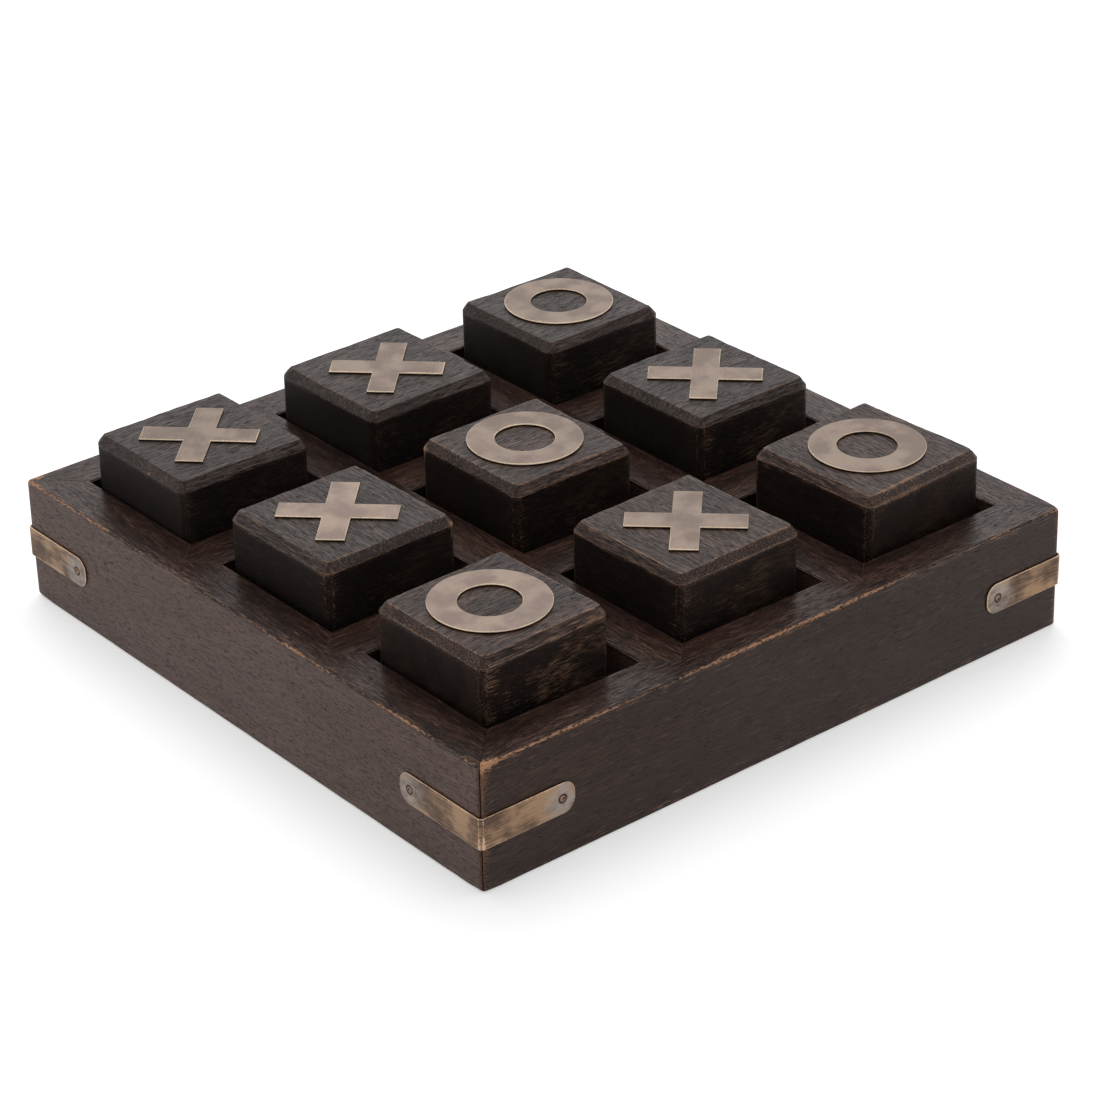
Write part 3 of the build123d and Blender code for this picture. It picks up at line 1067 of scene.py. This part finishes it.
# %% [markdown]
# ## Antique brass
# Aged brass is a dull, greyish tan with cloudy patches and long streaks, dark specks
# and a few fine scratches. Its filed rims are rubbed bright, and the bright line along
# them is partly a painted highlight; the walls below the rims are painted shade. Round
# the pins of a strap lies a pale haze, and each pin stands in a dark dimple. A plain
# metal would only mirror the tent. So the patina group makes what all brass here
# shares, for the marks, the straps and the pins, each with its own colours, and the
# material adds what is only on the straps.

# %% Group: patina
PATINA_SHIFT = (31.0, 47.0, 13.0)
STREAK_CELLS = (0.09, 1.5, 1.5)
BRUSHED_CELLS = (0.25, 6.0, 6.0)
CROSSED_CELLS = (5.0, 0.2, 5.0)

tree, given, wanted = new_group(
    "patina", ("Point", "Seed"), ("Clouds", "Streaks", "Specks", "Scratches", "Height"))
point = seeded_point(tree, given, PATINA_SHIFT)
clouds = tree.noise(point, 0.075, 3.0, 0.55)
streaks = tree.drawn(point, STREAK_CELLS, 2.0, 0.6)
specks = tree.step(tree.noise(point, 1.1, 2.0, 0.6), 0.66, 0.74)
brushed = tree.step(tree.drawn(point, BRUSHED_CELLS, 2.0, 0.6), 0.68, 0.74)
crossed = tree.step(tree.drawn(point, CROSSED_CELLS, 2.0, 0.6), 0.70, 0.76)
scratches = tree.larger(brushed, crossed)
beaten = tree.times(tree.noise(point, 0.8, 3.0), 0.5)
height = tree.plus(tree.times(clouds, 0.8), beaten)
give(tree, wanted, Clouds=clouds, Streaks=streaks, Specks=specks, Scratches=scratches, Height=height)
print("groups:", len(bpy.data.node_groups))

# %% Brass colours
MARK_GREY = (0.270, 0.205, 0.174, 1.0)
MARK_TAN = (0.365, 0.278, 0.224, 1.0)
MARK_RIM_RUBBED_AND_GLINT = (0.800, 0.640, 0.470, 1.0)
STRAP_BROWN = (0.108, 0.068, 0.050, 1.0)
STRAP_GOLD = (0.345, 0.220, 0.130, 1.0)
STRAP_RIM_RUBBED_AND_GLINT = (0.700, 0.500, 0.340, 1.0)
HAZE_GREY = (0.370, 0.335, 0.318, 1.0)
BRASS_SPECKS_AND_SHADE = (0.040, 0.024, 0.018, 1.0)
DIMPLE_BLACK = (0.012, 0.008, 0.007, 1.0)
PIN_DARK = (0.030, 0.018, 0.013, 1.0)
PIN_GLINT = (0.300, 0.185, 0.125, 1.0)
BRASS_RELIEF = 0.00006
HAZE_CELLS = 260.0
print("brass relief", BRASS_RELIEF / MM, "mm")


# %% Brass materials
def brass(name, low, high, rim, seed, streak_share, strip=False, zoom=1.0):
    """Aged sheet brass: cloudy between two colours, bright along its rims, where rubbed
    brass carries a painted highlight, and dark in painted shade on the walls below them.
    A strip has its streaks along it, and grey haze round its pins. Zoom draws the clouds
    smaller, for a small piece; on a pin head the small clouds are painted highlight and
    painted shade."""
    material, tree = new_material(name)
    place = tree.box("ShaderNodeTexCoord").outputs["Object"]
    point = tree.vector("SCALE", place, zoom)
    if strip:
        x, y, z = tree.split(place)
        point = tree.join(tree.minus(x, y), 0.0, z)
    patina = use_group(tree, "patina", {"Point": point, "Seed": seed})
    tone = tree.times(patina["Clouds"], 1.0 - streak_share)
    tone = tree.plus(tone, tree.times(patina["Streaks"], streak_share))
    softness = 0.105 if strip else 0.12
    colour = tree.blend(tree.step(tone, 0.5 - softness, 0.5 + softness), low, high)
    colour = tree.blend(tree.times(patina["Specks"], 0.30), colour, BRASS_SPECKS_AND_SHADE)
    colour = tree.blend(tree.times(patina["Scratches"], 0.22), colour, rim)
    distance = tree.box("ShaderNodeAttribute", attribute_name="edge_mm").outputs["Fac"]
    # Bright rims: rubbed brass with a painted highlight of the filed edge.
    bright = worn_edge(tree, distance, place, 0.50, 0.84, seed)
    roughness = tree.step(tone, 0.38, 0.62, 0.46, 0.36)
    if strip:
        from_pin = tree.box("ShaderNodeAttribute", attribute_name="pin_mm").outputs["Fac"]
        near_pin = tree.step(from_pin, 2.0, 12.0, 1.0, 0.0)
        patch = tree.noise(tree.vector("SCALE", place, HAZE_CELLS), 1.0, 3.0, 0.6)
        haze = tree.times(near_pin, tree.step(patch, 0.36, 0.58, 0.30, 1.0))
        colour = tree.blend(tree.times(haze, 0.75), colour, HAZE_GREY)
        roughness = tree.plus(roughness, tree.times(haze, 0.12))
    colour = tree.blend(tree.times(bright, 0.80), colour, rim)
    if strip:
        colour = tree.blend(tree.step(from_pin, 1.75, 2.45, 0.92, 0.0), colour, DIMPLE_BLACK)
    # Painted shade: the sheet's walls and back are drawn dark, as the shadow at its edge; the same dark
    # colour also gives the real dark specks.
    under = tree.step(distance, 0.7 * UNDER_EDGE, 0.15 * UNDER_EDGE, 0.9, 0.0)
    colour = tree.blend(under, colour, BRASS_SPECKS_AND_SHADE)
    shader = tree.nodes["Principled BSDF"]
    shader.inputs["Metallic"].default_value = 1.0
    tree.put(shader.inputs["Base Color"], colour)
    tree.put(shader.inputs["Roughness"], roughness)
    relief = {"Height": patina["Height"], "Strength": 0.6, "Distance": BRASS_RELIEF}
    tree.put(shader.inputs["Normal"], tree.box("ShaderNodeBump", relief).outputs[0])
    return material


# The rim colour is rubbed brass and a painted highlight.
print("rubbed rims of the marks:", MARK_RIM_RUBBED_AND_GLINT[:3])

# %% [markdown]
# ## The marks
# The cross lies along the diagonals of its block, and the ring is turned from the
# same sheet. Both could be cut from a plane by a boolean, but that leaves long thin
# faces with no rows beside the outline. Here each is a grid of its own, straight for
# the cross and round for the ring. One cross has a small dent. One ring has a small
# bump, which is a dent with a depth below zero.

# %% Rows beside an outline
BESIDE_OUTLINE = (0.12, 0.26, 0.42, 0.9)


def crowded(length, gap):
    """Stations from 0 to length, crowded at both ends."""
    near = [place for place in BESIDE_OUTLINE if place < length / 2]
    span = length - 2 * near[-1]
    count = max(1, round(span / gap))
    middle = [near[-1] + span * number / count for number in range(1, count)]
    return [0.0] + near + middle + [length - place for place in reversed(near)] + [length]


def lift_of(seed, dents):
    """Slow waves of hand-beaten sheet, with a dish at each dent."""
    def lift(x, y):
        z = 0.05 * slow(x, y, 0.0, 9.0, seed)
        for dent_x, dent_y, reach, depth in dents:
            share = math.hypot(x - dent_x, y - dent_y) / reach
            if share < 1:
                z -= depth * (1 - share * share)
        return z
    return lift


print("rows across 20 mm:", len(crowded(20.0, 2.0)))


# %% Cross mesh
def cross_mesh(length, width, thickness, seed, dents):
    """A cross whose arms lie along its own X and Y."""
    tip, edge = length / 2, width / 2
    arm = [place - tip for place in crowded(tip - edge, 2.0)]
    waist = [place - edge for place in crowded(width, 2.0)]
    stations = arm + waist[1:] + [-place for place in reversed(arm)][1:]
    points = [(x, y) for x in stations for y in stations]

    def inside(x, y):
        along_x = min(tip - abs(x), edge - abs(y))
        along_y = min(edge - abs(x), tip - abs(y))
        return max(along_x, along_y)

    def keep(c, r):
        x = (stations[c] + stations[c + 1]) / 2
        y = (stations[r] + stations[r + 1]) / 2
        return abs(x) < edge or abs(y) < edge

    count = len(stations)
    distances = [max(0.0, inside(x, y)) for x, y in points]
    points, faces, distances = drop_loose(points, grid_faces(count, count, keep), distances)
    return plate(points, faces, distances, thickness, lift_of(seed, dents))


print("rows beside an outline at", BESIDE_OUTLINE, "mm")

# %% Ring mesh
AROUND_RING = 144


def ring_mesh(outer, inner, thickness, seed, dents):
    """A flat ring."""
    radii = [inner + place for place in crowded(outer - inner, 2.0)]
    rows = len(radii)
    turns = [2 * math.pi * number / AROUND_RING for number in range(AROUND_RING)]
    points = [(radius * math.cos(turn), radius * math.sin(turn)) for turn in turns for radius in radii]
    faces = []
    for number in range(AROUND_RING):
        start, following = number * rows, (number + 1) % AROUND_RING * rows
        faces += [(start + r, start + r + 1, following + r + 1, following + r) for r in range(rows - 1)]
    distances = [min(outer - radius, radius - inner) for turn in turns for radius in radii]
    return plate(points, faces, distances, thickness, lift_of(seed, dents))


print("a ring has", AROUND_RING, "columns")

# %% Make the marks
MARK_SHADE = {"a1": 1.12, "b1": 1.0, "a2": 1.2, "a3": 0.92}
MARK_DENTS = {"c3": [(-17.0, 6.0, 1.1, -0.35)], "a2": [(-19.5, 0.0, 0.7, 0.3)]}
mark_nodes = {cell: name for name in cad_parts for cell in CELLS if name.endswith("mark_" + cell)}

for number, cell in enumerate(CELLS):
    node = mark_nodes[cell]
    round_mark = node.startswith("o_mark")
    lean = lies[cell][3] + (0.0 if round_mark else math.pi / 4)
    low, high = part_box(node)
    thickness = (high.z - low.z) / MM
    seat = seat_of(node, lean)
    local = [seat.inverted() @ vertex.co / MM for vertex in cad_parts[node].data.vertices]
    dents = MARK_DENTS.get(cell, ())
    if round_mark:
        radii = [math.hypot(point.x, point.y) for point in local]
        points, faces, distances = ring_mesh(max(radii), min(radii), thickness, number, dents)
        name = "brass_ring_" + cell
    else:
        length = 2 * max(abs(point.x) for point in local)
        width = 2 * min(abs(point.y) for point in local)
        points, faces, distances = cross_mesh(length, width, thickness, number, dents)
        name = "brass_cross_" + cell
    shade = MARK_SHADE.get(cell, 1.0)
    tones = [[value * shade for value in colour[:3]] + [1.0] for colour in (MARK_GREY, MARK_TAN)]
    metal = brass("mark brass " + cell, *tones, MARK_RIM_RUBBED_AND_GLINT, 30.0 + number, 0.15)
    piece = new_piece(name, points, faces, distances, metal, seat)
    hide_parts(node)
    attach(piece, "piece_" + cell)
print("marks:", len(mark_nodes), "cross", round(length, 1), "by", round(width, 1))

# %% [markdown]
# ## The straps
# Each strap is a strip bent round a corner and pinned at both ends. The bender's edge
# leaves two creases with a narrow flat between them. A strap could be cut from an
# L-shaped bar, but its rounded ends and its dimples are simpler to draw flat. So the
# strip's outline is worked out flat, then each point is carried round the corner:
# along one face, across the flat, and along the other.

# %% Outline of a strap
END_ROUND = 5.6
FLAT_LEG = 0.84
CREASE = 0.30
DIMPLE_RADIUS = 2.15
DIMPLE_DEPTH = 0.78
DIMPLE_STEP = 0.35


def strip_distance(u, v, length, half_width):
    """How far a point of the strip lies inside its outline with rounded ends."""
    from_end = min(u, length - u)
    from_side = half_width - abs(v)
    if from_end < END_ROUND and from_side < END_ROUND:
        return END_ROUND - math.hypot(END_ROUND - from_end, END_ROUND - from_side)
    return min(from_end, from_side)


def strip_half_width(u, length, half_width):
    """Half the strip's width at a place along it."""
    from_end = min(u, length - u)
    if from_end >= END_ROUND:
        return half_width
    return half_width - END_ROUND + math.sqrt(END_ROUND ** 2 - (END_ROUND - from_end) ** 2)


print("a strap's end is rounded by", END_ROUND, "mm")


# %% Bend of a strap
def smooth(value):
    """From 0 at -1 to 1 at 1, without a kink."""
    share = min(1.0, max(0.0, value * 0.5 + 0.5))
    return share * share * (3 - 2 * share)


def strap_bend(first_reach, middle_height):
    """A function that carries a point of the flat strip round the corner."""
    leg = first_reach - FLAT_LEG
    flat = FLAT_LEG * math.sqrt(2)

    def bend(u, v, w):
        z = middle_height + v
        lean = 0.5 * (smooth((u - leg) / CREASE) + smooth((u - leg - flat) / CREASE))
        angle = lean * math.pi / 2
        out = (-math.sin(angle), -math.cos(angle))
        if u < leg:
            x, y = -OUTER_HALF + first_reach - u, -OUTER_HALF
        elif u < leg + flat:
            along = (u - leg) / math.sqrt(2)
            x, y = -OUTER_HALF + FLAT_LEG - along, -OUTER_HALF + along
        else:
            x, y = -OUTER_HALF, -OUTER_HALF + FLAT_LEG + u - leg - flat
        return x + out[0] * w, y + out[1] * w, z
    return bend


print("the flat at the bend is", round(FLAT_LEG * math.sqrt(2), 2), "mm wide")

# %% Strap mesh
STRAP_GAP = 1.6
LEAST_FROM_CREASE = 0.12


def strap_mesh(reaches, width, middle_height, thickness, pins, seed):
    """A strap with its two reaches from the corner, and its pins' places from its ends:
    points, faces, edge distances and distances from the nearest pin."""
    leg = reaches[0] - FLAT_LEG
    creases = [leg, leg + FLAT_LEG * math.sqrt(2)]
    length = creases[1] + reaches[1] - FLAT_LEG
    pin_places = [pins[0], length - pins[1]]
    half_width = width / 2
    quarter = [END_ROUND * (1 - math.cos(math.pi / 2 * number / 18)) for number in range(19)]
    stations = crowded(length, STRAP_GAP) + quarter + [length - place for place in quarter]
    stations += [place + step * DIMPLE_STEP for place in pin_places for step in range(-6, 7)]
    stations += [crease + step * CREASE / 2 for crease in creases for step in range(-3, 4)]
    stations = sorted({round(place, 2) for place in stations if 0 < place < length - 0.01} | {0.0, length})
    across = [place - half_width for place in crowded(width, STRAP_GAP)]
    across += [step * DIMPLE_STEP for step in range(-6, 7)]
    across = sorted({round(place, 3) for place in across})
    points, distances = [], []
    for u in stations:
        share = strip_half_width(u, length, half_width) / half_width
        for place in across:
            v = place * share
            points.append((u, v))
            distances.append(max(0.0, strip_distance(u, v, length, half_width)))
    faces = grid_faces(len(stations), len(across), lambda c, r: True)

    def lift(u, v):
        z = 0.06 * slow(u, v, 0.0, 8.0, seed)
        for place in pin_places:
            share = math.hypot(u - place, v) / DIMPLE_RADIUS
            if share < 1:
                z -= DIMPLE_DEPTH * (1 - share)
        return z

    flat = points
    bend = strap_bend(reaches[0], middle_height)
    points, faces, distances = plate(flat, faces, distances, thickness, lift, bend)
    # Painted highlight: the edge distance is kept short along the two creases, so a bright line runs down
    # each.
    crease_highlight_distance = [min(abs(u - crease) for crease in creases) + LEAST_FROM_CREASE for u, v in flat] * 2
    from_pins = [min(math.hypot(u - place, v) for place in pin_places) for u, v in flat] * 2
    return points, faces, [min(pair) for pair in zip(distances, crease_highlight_distance)], from_pins


print("a dimple is", DIMPLE_DEPTH, "mm deep")

# %% Make the straps
quarters = {"front_left": 0, "front_right": 1, "back_right": 2, "back_left": 3}
pin_cloud = [vertex.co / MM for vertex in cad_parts["strap_pins"].data.vertices]
pin_seats = []

for corner, quarter in quarters.items():
    node = "strap_" + corner
    back = Matrix.Rotation(-quarter * math.pi / 2, 4, "Z")
    cloud = [back @ vertex.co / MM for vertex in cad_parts[node].data.vertices]
    pins = [back @ point for point in pin_cloud]
    reaches = [max(point[axis] for point in cloud) + OUTER_HALF for axis in (0, 1)]
    foot, head = min(point.z for point in cloud), max(point.z for point in cloud)
    thickness = -OUTER_HALF - min(point.y for point in cloud)
    insets = []
    for axis in (0, 1):
        heads = [point for point in pins if -point[1 - axis] > OUTER_HALF + thickness and point[axis] < 0]
        middle = (min(point[axis] for point in heads) + max(point[axis] for point in heads)) / 2
        top = max(-point[1 - axis] for point in heads)
        insets.append(reaches[axis] - middle - OUTER_HALF)
        pin_seats.append((quarter, axis, middle, top, (foot + head) / 2))
    width = head - foot
    middle_height = (foot + head) / 2
    seed = 50.0 + quarter
    strap = strap_mesh(reaches, width, middle_height, thickness, insets, seed)
    points, faces, distances, from_pins = strap
    colours = (STRAP_BROWN, STRAP_GOLD, STRAP_RIM_RUBBED_AND_GLINT)
    metal = brass("strap brass " + corner, *colours, seed, 0.35, strip=True)
    seat = Matrix.Rotation(quarter * math.pi / 2, 4, "Z")
    piece = new_piece("brass_strap_" + corner, points, faces, distances, metal, seat, from_pins)
    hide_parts(node)
    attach(piece, "tray")
    print("strap", corner, "reaches", [round(reach, 1) for reach in reaches], "by", round(width, 1))

# %% [markdown]
# ## The pins
# A pin is a round-headed brass nail: a low dome with a soft rim, and a square shank
# that tapers to its point inside the wood. Its profile is a short list of radii and
# heights, swept round by a loop. Each head is beaten a little differently.

# %% Pins
HEAD_RADIUS = 1.45
HEAD_DOME = 0.7
SHANK_SIDE = 1.3
SHANK_TIP = 0.2
SHANK_LENGTH = 11.0
AROUND_PIN = 32
PIN_RIM_PAINTED_SHADE = 0.35


def pin_rings(seed):
    """Rings of one pin, from the top of its dome to its point, looking down its axis,
    each with how far it lies inside the painted shade round the rim of the head."""
    rings = []
    for number in range(1, 8):
        turn = number / 7 * math.pi / 2
        rings.append((HEAD_RADIUS * math.sin(turn), HEAD_DOME * math.cos(turn), False))
    rings.append((HEAD_RADIUS * 0.97, -0.07, False))
    rings.append((SHANK_SIDE / 2, -0.08, True))
    rings.append((SHANK_TIP / 2, -SHANK_LENGTH, True))
    outline = []
    for radius, height, square in rings:
        ring = []
        for number in range(AROUND_PIN):
            angle = 2 * math.pi * number / AROUND_PIN
            reach = radius
            if square:
                reach = radius / max(abs(math.cos(angle)), abs(math.sin(angle)))
            x, y = reach * math.cos(angle), reach * math.sin(angle)
            dent = 0.07 * slow(x, y, height, 1.1, seed) if not square else 0.0
            ring.append((x * (1 + dent), y * (1 + dent), height * (1 + dent)))
        # Near the head's rim this distance falls below zero, which draws painted shade.
        outline.append((ring, HEAD_RADIUS - radius - PIN_RIM_PAINTED_SHADE if height > 0 else UNDER_EDGE))
    return outline


points, faces, distances = [], [], []
for number, (quarter, axis, middle, top, height) in enumerate(pin_seats):
    turn = Matrix.Rotation(quarter * math.pi / 2, 3, "Z")
    first = len(points)
    base = top - HEAD_DOME
    rings = pin_rings(60.0 + number)
    cloud = [((0.0, 0.0, HEAD_DOME), HEAD_RADIUS)]
    cloud += [(point, inside) for ring, inside in rings for point in ring]
    cloud += [((0.0, 0.0, -SHANK_LENGTH), UNDER_EDGE)]
    for (along, up, out), inside in cloud:
        place = [0.0, 0.0, height + up]
        place[axis] = middle + along
        place[1 - axis] = -(base + out)
        points.append(tuple(turn @ Vector(place)))
        distances.append(inside)
    for spot in range(AROUND_PIN):
        following = (spot + 1) % AROUND_PIN
        faces.append((first, first + 1 + spot, first + 1 + following))
        for ring in range(len(rings) - 1):
            here, there = first + 1 + ring * AROUND_PIN, first + 1 + (ring + 1) * AROUND_PIN
            faces.append((here + spot, there + spot, there + following, here + following))
        last = first + 1 + (len(rings) - 1) * AROUND_PIN
        faces.append((last + following, last + spot, len(points) - 1))
# On the pin heads the small clouds between dark and light brass are painted highlight and painted shade on
# the dome, and the light colour also draws a bright ring.
pin_metal = brass("pin brass", PIN_DARK, PIN_GLINT, PIN_GLINT, 70.0, 0.0, zoom=9.0)
pins = new_piece("brass_pins", points, faces, distances, pin_metal, Matrix.Identity(4))
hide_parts("strap_pins")
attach(pins, "tray")
print("pins:", len(pin_seats))

# %% [markdown]
# ## Finish
# The dressed board must be as large as the packed one. That could be judged by eye in
# a render, but a tenth of a millimetre doesn't show there.
